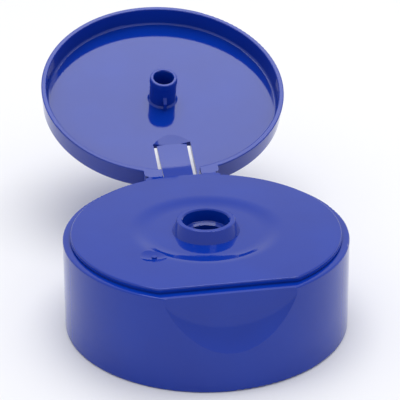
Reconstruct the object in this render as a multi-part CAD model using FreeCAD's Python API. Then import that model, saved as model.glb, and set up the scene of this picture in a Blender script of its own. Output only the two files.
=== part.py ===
"""Flip top cap: a one-piece polypropylene dispensing closure for a 38 mm screw neck.

The moulding has a double-walled base with a threaded neck skirt, a raised deck with a
spout, and a flip lid that hangs on two film hinges with a spring strap between them.
It is written as five solids, cut only where the moulding bends, so that the lid can swing.

Frame: millimetres, +Z up, origin at the centre of the rim that the base stands on.
The thumb recess faces -Y and the hinge is at +Y. The lid is modelled shut, then opened.
"""
import FreeCAD, Part

import math
import os

from FreeCAD import Vector

# --- Base: outer skirt and ledge ---
foot_radius = 25.3          # outer wall at the rim that it stands on
rim_radius = 25.0           # outer wall at the ledge
ledge_height = 16.8         # standing rim to ledge
skirt_wall = 1.3
rim_round = 0.3
foot_round = 0.35

# --- Base: deck that the lid closes round ---
deck_radius = 23.6
deck_rise = 0.85            # deck above the ledge
deck_flat = 20.7            # cap axis to the flat above the thumb recess
deck_wall = 1.25
deck_corner = 1.2
deck_round = 0.28
bead_proud = 0.14           # snap bead round the deck
bead_width = 0.26
bead_height = 0.36          # bead's middle above the ledge
dish_radius = 13.0
dish_floor_radius = 10.5
dish_depth = 0.45
dish_sweep = 9.0            # radius of the S curve into the dish

# --- Spout and orifice ---
spout_lip_radius = 5.05
spout_foot_radius = 5.95
spout_rise = 2.15           # lip above the dish's floor
spout_lip_round = 0.22
spout_bore_radius = 4.07
spout_bore_draft = 0.12
spout_bore_depth = 2.7
orifice_radius = 3.1
orifice_length = 1.5
orifice_collar = 1.0

# --- Gate mark on the deck ---
gate_x = -10.4
gate_y = -8.9
gate_radius = 2.35
gate_depth = 0.38
gate_nub_radius = 0.45
gate_nub_height = 0.22

# --- Thumb recess ---
thumb_back = 22.55          # cap axis to the recess's flat back
thumb_flat_depth = 4.4      # ledge to where the back starts to curve out
thumb_scoop_radius = 6.4
thumb_half_width = 11.2
thumb_backing = 1.2         # wall behind the recess

# --- Neck skirt, thread, seal ring and ribs ---
neck_radius = 19.1          # thread root, for a 38 mm neck
neck_wall = 1.2
neck_foot_height = 4.2      # the neck skirt's lower end above the standing rim
neck_lead = 0.5
thread_height = 1.05
thread_root_width = 2.3
thread_crest_width = 0.9
thread_pitch = 4.233
thread_turns = 1.3
thread_start = 1.9          # first turn's middle above the neck skirt's lower end
thread_embed = 0.3
seal_radius = 15.2
seal_wall = 0.85
seal_length = 3.2
rib_count = 12
rib_thickness = 0.9
rib_foot_height = 7.5

# --- Flip lid ---
lid_radius = 24.9
lid_wall = 1.0
lid_depth = 3.9             # rim to the inside of the plate
lid_plate = 1.2
lid_draft = 0.25
lid_edge_round = 1.1
lid_corner_round = 0.5
lid_rim_round = 0.2
lid_gap = 0.1               # rim above the ledge when shut

# --- Plug in the lid ---
plug_radius = 2.78
plug_bore_radius = 2.05
plug_length = 5.95
plug_bore_depth = 4.2
plug_bulge = 0.08
plug_bulge_height = 1.0
plug_tip_round = 0.25
plug_foot_round = 0.35
plug_rib_width = 0.7
plug_rib_reach = 0.95
plug_rib_length = 2.7

# --- Snap hinge ---
hinge_reach = 25.5          # cap axis to the fold line
hinge_half_width = 7.25
open_angle = 156.5
film_length = 0.5
film_thickness = 0.4
film_web = 0.28             # thickness left at the fold
land_height = 3.0
land_corner = 0.7
window_half_width = 3.75
window_end = 13.0           # cap axis to the window's inner end
scoop_reach = 2.3
scoop_depth = 0.55
strap_thickness = 0.75
strap_foot_half_width = 2.85
strap_head_half_width = 3.05
strap_foot_depth = 3.1      # ledge to the middle of the strap's foot
strap_pad_margin = 0.5

# --- Heights that follow from the sizes above ---
deck_top = ledge_height + deck_rise
deck_under = deck_top - deck_wall
ledge_under = ledge_height - deck_wall
dish_floor = deck_top - dish_depth
spout_top = dish_floor + spout_rise
bore_foot = spout_top - spout_bore_depth
lid_rim_z = ledge_height + lid_gap
lid_inside_z = lid_rim_z + lid_depth
lid_top_z = lid_inside_z + lid_plate
fold_z = ledge_height + lid_gap / 2
land_reach = hinge_reach - film_length / 2

CUT = 0.5                   # how far a cutting tool runs past what it cuts
EMBED = 0.2                 # how far a wall runs into the wall that carries it
NEAR = 0.01                 # tolerance for picking edges by their place
FAR = 80.0                  # larger than the whole cap

X = Vector(1, 0, 0)
Y = Vector(0, 1, 0)
Z = Vector(0, 0, 1)
ORIGIN = Vector(0, 0, 0)


def rounded_wire(corners, place):
    """Closed wire through corners (u, v, radius), each with its tangent arc."""
    edges = []
    starts = []
    count = len(corners)
    for i in range(count):
        u, v, radius = corners[i]
        here = Vector(u, v, 0)
        back = Vector(corners[i - 1][0], corners[i - 1][1], 0) - here
        ahead = Vector(corners[(i + 1) % count][0], corners[(i + 1) % count][1], 0) - here
        if radius <= 0:
            starts.append((here, here, here))
            continue
        half = back.getAngle(ahead) / 2
        reach = radius / math.tan(half)
        first = here + back.normalize() * reach
        last = here + ahead.normalize() * reach
        bisector = (first + last) * 0.5 - here
        middle = here + bisector.normalize() * (radius / math.sin(half) - radius)
        starts.append((first, middle, last))
    for i in range(count):
        first, middle, last = [place(p.x, p.y) for p in starts[i]]
        if (last - first).Length > 1e-6:
            edges.append(Part.Arc(first, middle, last).toShape())
        following = starts[(i + 1) % count][0]
        following = place(following.x, following.y)
        if (following - last).Length > 1e-6:
            edges.append(Part.LineSegment(last, following).toShape())
    return Part.Wire(edges)


def radial(u, v):
    """A profile point: u from the cap's axis, v up."""
    return Vector(u, 0, v)


def turned(corners):
    """Solid of revolution about Z of a profile with rounded corners."""
    return Part.Face(rounded_wire(corners, radial)).revolve(ORIGIN, Z, 360)


def box(x_low, x_high, y_low, y_high, z_low, z_high):
    """Block between two corners."""
    corner = Vector(x_low, y_low, z_low)
    return Part.makeBox(x_high - x_low, y_high - y_low, z_high - z_low, corner)


def side_prism(points, x_low, x_high):
    """Prism along X of a straight-sided section given as (y, z)."""
    outline = [Vector(x_low, y, z) for y, z in points]
    face = Part.Face(Part.makePolygon(outline + outline[:1]))
    return face.extrude(X * (x_high - x_low))


def opened(shape):
    """The lid's shut shape, swung open about the fold line."""
    swung = shape.copy()
    swung.rotate(Vector(0, hinge_reach, fold_z), X, -open_angle)
    return swung


def opened_point(y, z):
    """Where a point of the shut lid's middle section goes when the lid is open."""
    turn = math.radians(open_angle)
    across = y - hinge_reach
    up = z - fold_z
    open_y = hinge_reach + across * math.cos(turn) + up * math.sin(turn)
    open_z = fold_z - across * math.sin(turn) + up * math.cos(turn)
    return open_y, open_z


# --- Cap base ---

def deck_outline(grow, low, high):
    """Prism of the deck's round outline with its flat front, grown by an offset."""
    radius = deck_radius + grow
    flat = deck_flat + grow
    half = math.sqrt(radius ** 2 - flat ** 2)
    arc = Part.Arc(Vector(half, -flat, low), Vector(0, radius, low), Vector(-half, -flat, low))
    chord = Part.LineSegment(Vector(-half, -flat, low), Vector(half, -flat, low))
    prism = Part.Face(Part.Wire([arc.toShape(), chord.toShape()])).extrude(Z * (high - low))
    upright = [e for e in prism.Edges if abs(e.Vertexes[0].Z - e.Vertexes[-1].Z) > NEAR
               and abs(e.BoundBox.YMax + flat) < NEAR]
    return prism.makeFillet(deck_corner, upright)


def dish_lens(drop, top):
    """The space above the dished middle of the deck, its surface lowered by drop."""
    return turned([
        (0, dish_floor - drop, 0),
        (dish_floor_radius, dish_floor - drop, dish_sweep),
        (dish_radius, deck_top - drop, dish_sweep),
        (deck_radius, deck_top - drop, 0),
        (deck_radius, top, 0),
        (0, top, 0),
    ])


def skirt_and_ledge():
    """Tapered outer skirt, closed at the top by the ledge."""
    inner_foot = foot_radius - skirt_wall
    inner_top = rim_radius - skirt_wall
    return turned([
        (0, ledge_under, 0),
        (inner_top, ledge_under, rim_round),
        (inner_foot, 0, foot_round),
        (foot_radius, 0, foot_round),
        (rim_radius, ledge_height, rim_round),
        (0, ledge_height, 0),
    ])


def deck():
    """Raised deck with its snap bead, rounded edge and dish."""
    body = deck_outline(0, ledge_under, deck_top)
    rim = [e for e in body.Edges if e.BoundBox.ZMin > deck_top - NEAR]
    body = body.makeFillet(deck_round, rim)
    bead_low = ledge_height + bead_height - bead_width / 2
    bead = deck_outline(bead_proud, bead_low, bead_low + bead_width)
    return body.fuse(bead).cut(dish_lens(0, deck_top + CUT))


def deck_pocket():
    """The hollow under the deck, which keeps the deck and dish at an even wall."""
    pocket = deck_outline(-deck_wall, ledge_under - CUT, deck_top)
    return pocket.cut(dish_lens(deck_wall, deck_top + CUT))


def spout():
    """Conical spout on the dish's floor, with a short collar round the orifice below."""
    collar_radius = orifice_radius + orifice_collar
    collar_foot = bore_foot - orifice_length
    return turned([
        (0, collar_foot, 0),
        (collar_radius, collar_foot, spout_lip_round),
        (collar_radius + spout_lip_round, dish_floor - deck_wall / 2, 0),
        (spout_foot_radius, dish_floor - deck_wall / 2, 0),
        (spout_foot_radius, dish_floor, 0),
        (spout_lip_radius, spout_top, spout_lip_round),
        (0, spout_top, 0),
    ])


def spout_bore():
    """The way through the spout: a drafted bore, a bevel and the straight orifice."""
    bore_foot_radius = spout_bore_radius - spout_bore_draft
    bevel = bore_foot_radius - orifice_radius
    return turned([
        (0, bore_foot - orifice_length - CUT, 0),
        (orifice_radius, bore_foot - orifice_length - CUT, 0),
        (orifice_radius, bore_foot, 0),
        (bore_foot_radius, bore_foot + bevel / 2, 0),
        (spout_bore_radius, spout_top - spout_lip_round, 0),
        (spout_bore_radius + spout_lip_round, spout_top, 0),
        (spout_bore_radius + spout_lip_round, spout_top + CUT, 0),
        (0, spout_top + CUT, 0),
    ])


def gate_dimple():
    """Round dimple that the gate was set in, less the nub that the gate left."""
    ball_radius = (gate_radius ** 2 + gate_depth ** 2) / (2 * gate_depth)
    centre = Vector(gate_x, gate_y, deck_top - gate_depth + ball_radius)
    dimple = Part.makeSphere(ball_radius, centre)
    nub_foot = Vector(gate_x, gate_y, deck_top - 2 * gate_depth)
    nub = Part.makeCylinder(gate_nub_radius, gate_depth + gate_nub_height, nub_foot)
    return dimple.cut(nub)


def thumb_outline(back, half_width, drop):
    """U outline in the plane y = -back: a half ellipse with short sides above the ledge."""
    half_turn = Part.Arc(-X, -Z, X).toShape()
    stretch = FreeCAD.Matrix()
    stretch.scale(half_width, 1, drop)
    bowl = half_turn.transformGeometry(stretch)
    bowl.translate(Vector(0, -back, ledge_height))
    first = Vector(-half_width, -back, ledge_height)
    last = Vector(half_width, -back, ledge_height)
    lift = Z * CUT
    sides = [
        Part.LineSegment(last, last + lift).toShape(),
        Part.LineSegment(last + lift, first + lift).toShape(),
        Part.LineSegment(first + lift, first).toShape(),
    ]
    return Part.Wire([bowl] + sides)


def thumb_scoop(grow):
    """The thumb recess as a solid: a flat back that sweeps out to a U-shaped edge."""
    deepest = foot_radius - thumb_back + CUT
    outlines = []
    for share in (0, 0.02, 0.12, 0.3, 0.6, 1):
        out = share * deepest
        sweep = math.acos(1 - out / max(thumb_scoop_radius, deepest))
        drop = thumb_flat_depth + thumb_scoop_radius * math.sin(sweep)
        outlines.append(thumb_outline(thumb_back - grow + out, thumb_half_width + grow, drop + grow))
    return Part.makeLoft(outlines, True, False)


def neck_skirt():
    """Inner skirt that screws on the neck, with a lead-in at its mouth."""
    return turned([
        (neck_radius, neck_foot_height + neck_lead, 0),
        (neck_radius + neck_lead / 2, neck_foot_height, 0),
        (neck_radius + neck_wall, neck_foot_height, rim_round),
        (neck_radius + neck_wall, deck_under + EMBED, 0),
        (neck_radius, deck_under + EMBED, 0),
    ])


def neck_thread():
    """Helical ridge on the neck skirt's bore."""
    rise = thread_pitch * thread_turns
    path = Part.makeHelix(thread_pitch, rise, neck_radius)
    root = neck_radius + thread_embed
    crest = neck_radius - thread_height
    section = [
        Vector(root, 0, -thread_root_width / 2),
        Vector(crest, 0, -thread_crest_width / 2),
        Vector(crest, 0, thread_crest_width / 2),
        Vector(root, 0, thread_root_width / 2),
    ]
    profile = Part.makePolygon(section + section[:1])
    ridge = Part.Wire(path.Edges).makePipeShell([profile], True, True)
    ridge.translate(Vector(0, 0, neck_foot_height + thread_start))
    return ridge


def seal_ring():
    """Short tapered ring that seals in the neck's mouth."""
    return turned([
        (seal_radius - seal_wall, deck_under - seal_length, 0),
        (seal_radius - seal_wall / 3, deck_under - seal_length, 0),
        (seal_radius, deck_under - seal_length + seal_wall, 0),
        (seal_radius, deck_under + EMBED, 0),
        (seal_radius - seal_wall, deck_under + EMBED, 0),
    ])


def ribs():
    """Radial ribs between the neck skirt and the outer skirt."""
    inner = neck_radius + neck_wall / 2
    outer = rim_radius - skirt_wall / 2
    rib = box(inner, outer, -rib_thickness / 2, rib_thickness / 2, rib_foot_height,
              deck_under + EMBED)
    copies = []
    for i in range(rib_count):
        copy = rib.copy()
        copy.rotate(ORIGIN, Z, 360 * (i + 0.5) / rib_count)
        copies.append(copy)
    return copies


def land(side, rim_z, height):
    """Block on one side of the window that roots a film hinge; height may be downward."""
    near, far = sorted((side * window_half_width, side * hinge_half_width))
    block = box(near, far, 0, land_reach, min(rim_z, rim_z + height), max(rim_z, rim_z + height))
    corner = [e for e in block.Edges if e.BoundBox.XLength + e.BoundBox.YLength < NEAR
              and e.BoundBox.YMin > land_reach - NEAR
              and abs(e.BoundBox.XMin - side * hinge_half_width) < NEAR]
    block = block.makeFillet(land_corner, corner)
    wall = rim_radius - skirt_wall / 2
    slope = side_prism([
        (wall, rim_z + height),
        (land_reach + CUT, rim_z + height),
        (land_reach + CUT, rim_z + height - (land_reach + CUT - wall) * math.copysign(1, height)),
    ], near - CUT, far + CUT)
    return block.cut(slope)


def strap_pad():
    """Flat-faced pad on the rear wall that roots the spring strap."""
    half_width = strap_foot_half_width + strap_pad_margin
    half_height = strap_thickness / 2 + strap_pad_margin
    middle = ledge_height - strap_foot_depth
    pad = box(-half_width, half_width, 0, land_reach, middle - half_height, middle + half_height)
    return pad.cut(Part.makeCylinder(rim_radius - skirt_wall / 2, FAR))


def cap_base():
    """The base: skirt, deck, spout, thumb recess, neck skirt and hinge lands."""
    top = skirt_and_ledge().fuse(deck()).cut(deck_pocket())
    inner_wall = Part.makeCylinder(rim_radius - skirt_wall / 2, FAR)
    backing = thumb_scoop(thumb_backing).common(inner_wall).common(
        box(-FAR, FAR, -FAR, 0, 0, ledge_height - rim_round))
    lands = [land(side, ledge_height, -land_height).cut(inner_wall) for side in (-1, 1)]
    walls = [neck_skirt(), seal_ring(), spout(), backing, strap_pad()]
    body = top.fuse(walls + ribs() + lands)
    body = body.cut([spout_bore(), gate_dimple(), thumb_scoop(0)])
    return body.fuse(neck_thread()).removeSplitter()


# --- Flip lid, modelled shut ---

def lid_shell():
    """Shallow round lid: a flat plate and a drafted wall with a rounded rim."""
    outer_top = lid_radius - lid_draft
    inner_rim = lid_radius - lid_wall
    return turned([
        (0, lid_inside_z, 0),
        (inner_rim - lid_draft / 2, lid_inside_z, lid_corner_round),
        (inner_rim, lid_rim_z, lid_rim_round),
        (lid_radius, lid_rim_z, lid_rim_round),
        (outer_top, lid_top_z, lid_edge_round),
        (0, lid_top_z, 0),
    ])


def plug():
    """Hollow plug that closes the orifice, with a slight bulge behind its tip."""
    tip = lid_inside_z - plug_length
    bulge = tip + plug_bulge_height
    foot = plug_radius + plug_foot_round
    body = turned([
        (0, tip, 0),
        (plug_radius - plug_bulge, tip, plug_tip_round),
        (plug_radius + plug_bulge, bulge, 0),
        (plug_radius, bulge + plug_bulge_height, 0),
        (plug_radius, lid_inside_z - plug_foot_round, 0),
        (foot, lid_inside_z, 0),
        (foot, lid_inside_z + EMBED, 0),
        (0, lid_inside_z + EMBED, 0),
    ])
    rib_top = lid_inside_z + EMBED
    rib_foot = lid_inside_z - plug_rib_length
    rib_edge = plug_radius + plug_rib_reach
    rib = side_prism([
        (plug_bore_radius, rib_top),
        (rib_edge, rib_top),
        (rib_edge, rib_foot + plug_rib_reach),
        (plug_radius, rib_foot),
        (plug_bore_radius, rib_foot),
    ], -plug_rib_width / 2, plug_rib_width / 2)
    return body.fuse(rib)


def plug_bore():
    """Blind hole in the plug's tip, with a bevelled mouth."""
    tip = lid_inside_z - plug_length
    mouth = plug_bore_radius + plug_tip_round / 2
    return turned([
        (0, tip - CUT, 0),
        (mouth, tip - CUT, 0),
        (mouth, tip, 0),
        (plug_bore_radius, tip + plug_tip_round, 0),
        (plug_bore_radius, tip + plug_bore_depth, plug_tip_round),
        (0, tip + plug_bore_depth, 0),
    ])


def strap_window():
    """Opening through the plate and the rear wall that the strap lies in."""
    return box(-window_half_width, window_half_width, window_end, FAR,
               lid_rim_z - CUT, lid_top_z + CUT)


def window_scoop():
    """Shallow slanted scoop in the plate at the window's inner end."""
    radius = window_half_width ** 2 / (2 * scoop_depth)
    slope = math.atan2(scoop_depth, scoop_reach)
    length = 2 * scoop_reach + radius
    start = window_end - 2 * scoop_reach
    low = Vector(0, start, lid_inside_z - math.tan(slope) * scoop_reach - radius / math.cos(slope))
    return Part.makeCylinder(radius, length, low, Vector(0, math.cos(slope), math.sin(slope)))


def flip_lid():
    """The lid, swung open."""
    bowl = Part.makeCylinder(lid_radius - lid_wall / 2, FAR)
    lands = [land(side, lid_rim_z, land_height).cut(bowl) for side in (-1, 1)]
    body = lid_shell().fuse([plug()] + lands)
    scoop = window_scoop().common(box(-FAR, FAR, 0, window_end + CUT, lid_inside_z - NEAR, lid_top_z))
    return opened(body.cut([plug_bore(), strap_window(), scoop]).removeSplitter())


# --- Parts that bend ---

def film_hinge(side):
    """Thin web between the base's land and the lid's land, thinnest at the fold."""
    near, far = sorted((side * window_half_width, side * (hinge_half_width - land_corner)))
    fold_y, fold_height = opened_point(land_reach, lid_rim_z)
    root_y, root_height = opened_point(land_reach, lid_rim_z + film_thickness)
    middle_y = (land_reach + fold_y) / 2
    middle_top = (ledge_height + fold_height) / 2 - (film_thickness - film_web) / 2
    return side_prism([
        (land_reach, ledge_height - film_thickness),
        (land_reach, ledge_height),
        (middle_y, middle_top),
        (fold_y, fold_height),
        (root_y, root_height),
        (middle_y, middle_top - film_web),
    ], near, far)


def strap_side(shift, foot_y, head_y, head_z):
    """One long edge of the strap's side view, as a smooth curve."""
    turn = math.radians(open_angle)
    along = Vector(0, -math.cos(turn), math.sin(turn))
    across = Vector(0, -math.sin(turn), -math.cos(turn))
    foot = Vector(0, foot_y, ledge_height - strap_foot_depth + shift)
    head = Vector(0, head_y, head_z) + across * shift
    pull = (head - foot).Length / 3
    curve = Part.BezierCurve()
    curve.setPoles([foot, foot + Y * pull, head - along * pull, head])
    return curve.toShape(), foot, head


def hinge_strap():
    """Spring strap from the base's rear pad to the window's inner end."""
    head_y, head_z = opened_point(window_end, lid_top_z - strap_thickness / 2)
    half = strap_thickness / 2
    upper, upper_foot, upper_head = strap_side(half, land_reach, head_y, head_z)
    lower, lower_foot, lower_head = strap_side(-half, land_reach, head_y, head_z)
    ends = [Part.LineSegment(upper_head, lower_head).toShape(),
            Part.LineSegment(lower_foot, upper_foot).toShape()]
    face = Part.Face(Part.Wire(Part.__sortEdges__([upper, lower] + ends)))
    band = face.extrude(X * (2 * strap_head_half_width))
    band.translate(X * -strap_head_half_width)
    plan = Part.Face(Part.makePolygon([
        Vector(-strap_foot_half_width, land_reach - CUT, 0),
        Vector(strap_foot_half_width, land_reach - CUT, 0),
        Vector(strap_head_half_width, head_y, 0),
        Vector(strap_head_half_width, FAR, 0),
        Vector(-strap_head_half_width, FAR, 0),
        Vector(-strap_head_half_width, head_y, 0),
        Vector(-strap_foot_half_width, land_reach - CUT, 0),
    ])).extrude(Z * FAR)
    return band.common(plan)


nodes = {
    "cap_base": cap_base(),
    "flip_lid": flip_lid(),
    "film_hinge_left": film_hinge(-1),
    "film_hinge_right": film_hinge(1),
    "hinge_strap": hinge_strap(),
}

os.makedirs("parts", exist_ok=True)
for name, shape in nodes.items():
    shape.exportStep("parts/" + name + ".step")
    print(name, len(shape.Solids), shape.isValid(), round(shape.Volume, 2))
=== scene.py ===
import math

import bpy
from mathutils import Matrix, Vector

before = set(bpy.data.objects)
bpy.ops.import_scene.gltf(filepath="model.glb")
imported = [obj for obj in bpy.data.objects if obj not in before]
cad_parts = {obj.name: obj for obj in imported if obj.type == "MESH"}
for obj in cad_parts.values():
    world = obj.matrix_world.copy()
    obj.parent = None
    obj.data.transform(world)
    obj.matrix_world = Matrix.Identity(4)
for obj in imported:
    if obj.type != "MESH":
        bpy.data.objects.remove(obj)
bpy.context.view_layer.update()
bpy.ops.object.select_all(action="DESELECT")


# --- Cap moulding ---
# The base, the lid, the two films and the strap are one moulding of royal blue polypropylene.
# It comes glossy out of a polished tool, with a faint waviness where the walls shrank.

def new_material(name):
    """New material, with its node tree and its shader."""
    material = bpy.data.materials.new(name)
    material.use_nodes = True
    tree = material.node_tree
    return material, tree, tree.nodes["Principled BSDF"]


def noise(tree, place, scale, detail):
    """Noise texture of so many cells to the metre, read at place."""
    texture = tree.nodes.new("ShaderNodeTexNoise")
    texture.inputs["Scale"].default_value = scale
    texture.inputs["Detail"].default_value = detail
    tree.links.new(place, texture.inputs["Vector"])
    return texture.outputs["Fac"]


def cloudy_blue(tree, place):
    """Royal blue that drifts slightly between a deep and a light shade."""
    deep_blue = (0.0006, 0.026, 0.31, 1)
    light_blue = (0.0008, 0.031, 0.345, 1)
    deep_end, light_end = 0.3, 0.7
    tint = tree.nodes.new("ShaderNodeValToRGB")
    deep, light = tint.color_ramp.elements
    deep.position = deep_end
    deep.color = deep_blue
    light.position = light_end
    light.color = light_blue
    tree.links.new(noise(tree, place, scale=90.0, detail=3.0), tint.inputs["Fac"])
    return tint.outputs["Color"]


def scuffed_gloss(tree, place, grain):
    """Roughness that rises by grain where the surface has fine scuffs."""
    polish = 0.05
    scuff_start, scuff_end = 0.35, 0.75
    sheen = tree.nodes.new("ShaderNodeMapRange")
    sheen.inputs["From Min"].default_value = scuff_start
    sheen.inputs["From Max"].default_value = scuff_end
    sheen.inputs["To Min"].default_value = polish
    sheen.inputs["To Max"].default_value = polish + grain
    tree.links.new(noise(tree, place, scale=2600.0, detail=4.0), sheen.inputs["Value"])
    return sheen.outputs["Result"]


def shrink_waves(tree, place, ripple):
    """Normal of a surface whose waves are ripple metres high."""
    bump = tree.nodes.new("ShaderNodeBump")
    bump.inputs["Strength"].default_value = 1.0
    bump.inputs["Distance"].default_value = ripple
    tree.links.new(noise(tree, place, scale=180.0, detail=1.0), bump.inputs["Height"])
    return bump.outputs["Normal"]


def polypropylene(name, ripple, grain):
    """Glossy blue polypropylene: ripple is the waves' height in metres, grain the share of scuffs."""
    refraction = 1.47
    material, tree, shader = new_material(name)
    place = tree.nodes.new("ShaderNodeTexCoord").outputs["Object"]
    tree.links.new(cloudy_blue(tree, place), shader.inputs["Base Color"])
    tree.links.new(scuffed_gloss(tree, place, grain), shader.inputs["Roughness"])
    tree.links.new(shrink_waves(tree, place, ripple), shader.inputs["Normal"])
    shader.inputs["IOR"].default_value = refraction
    return material


blue = polypropylene("blue_polypropylene", ripple=0.000004, grain=0.06)
for name in ("cap_base", "flip_lid", "film_hinge_left", "film_hinge_right", "hinge_strap"):
    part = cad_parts[name]
    part.data.materials.clear()
    part.data.materials.append(blue)


# --- Studio ---
# A plain pale table, an even white room and one large soft light overhead.

def table():
    """Round pale table top, wide enough to fill every view."""
    table_radius = 1.6
    bpy.ops.mesh.primitive_circle_add(vertices=128, radius=table_radius, fill_type="NGON",
                                      location=(0, 0, 0))
    top = bpy.context.active_object
    top.name = "table_top"
    material, _, shader = new_material("pale_table")
    shader.inputs["Base Color"].default_value = (0.84, 0.84, 0.86, 1)
    shader.inputs["Roughness"].default_value = 0.6
    shader.inputs["Specular IOR Level"].default_value = 0.1
    top.data.materials.append(material)


table()

world = bpy.data.worlds.new("white_room")
bpy.context.scene.world = world
world.use_nodes = True
sky = world.node_tree.nodes["Background"]
sky.inputs["Color"].default_value = (0.97, 0.98, 1.0, 1)
sky.inputs["Strength"].default_value = 0.75


def soft_light(name, place, size, power):
    """Square soft light that faces the cap: place and size in metres, power in watts."""
    cap_middle = Vector((0, 0, 0.01))
    bpy.ops.object.light_add(type="AREA", location=place)
    lamp = bpy.context.active_object
    lamp.name = name
    lamp.data.size = size
    lamp.data.energy = power
    lamp.rotation_euler = (cap_middle - Vector(place)).to_track_quat("-Z", "Y").to_euler()


soft_light("overhead_light", place=(0.05, 0.1, 0.7), size=0.6, power=3.0)

# --- Camera ---
# It looks down on the open cap from the front left.
view_azimuth = math.radians(-9.895)
view_elevation = math.radians(24.682)
view_roll = math.radians(-0.39)
view_distance = 0.23026
view_right = -0.001016
view_up = 0.011791
view_height = 0.01
lens = 117.02
sensor_width = 36
nearest = 0.01
farthest = 10

back = Vector((math.sin(view_azimuth) * math.cos(view_elevation),
               -math.cos(view_azimuth) * math.cos(view_elevation),
               math.sin(view_elevation)))
right = Vector((math.cos(view_azimuth), math.sin(view_azimuth), 0))
up = back.cross(right)
target = Vector((0, 0, view_height)) + right * view_right + up * view_up
rolled_right = right * math.cos(view_roll) + up * math.sin(view_roll)
rolled_up = up * math.cos(view_roll) - right * math.sin(view_roll)
bpy.ops.object.camera_add(location=target + back * view_distance)
camera = bpy.context.active_object
camera.rotation_euler = Matrix((rolled_right, rolled_up, back)).transposed().to_euler()
camera.data.lens = lens
camera.data.sensor_width = sensor_width
camera.data.clip_start = nearest
camera.data.clip_end = farthest
bpy.context.scene.camera = camera
bpy.context.scene.view_settings.view_transform = "Standard"
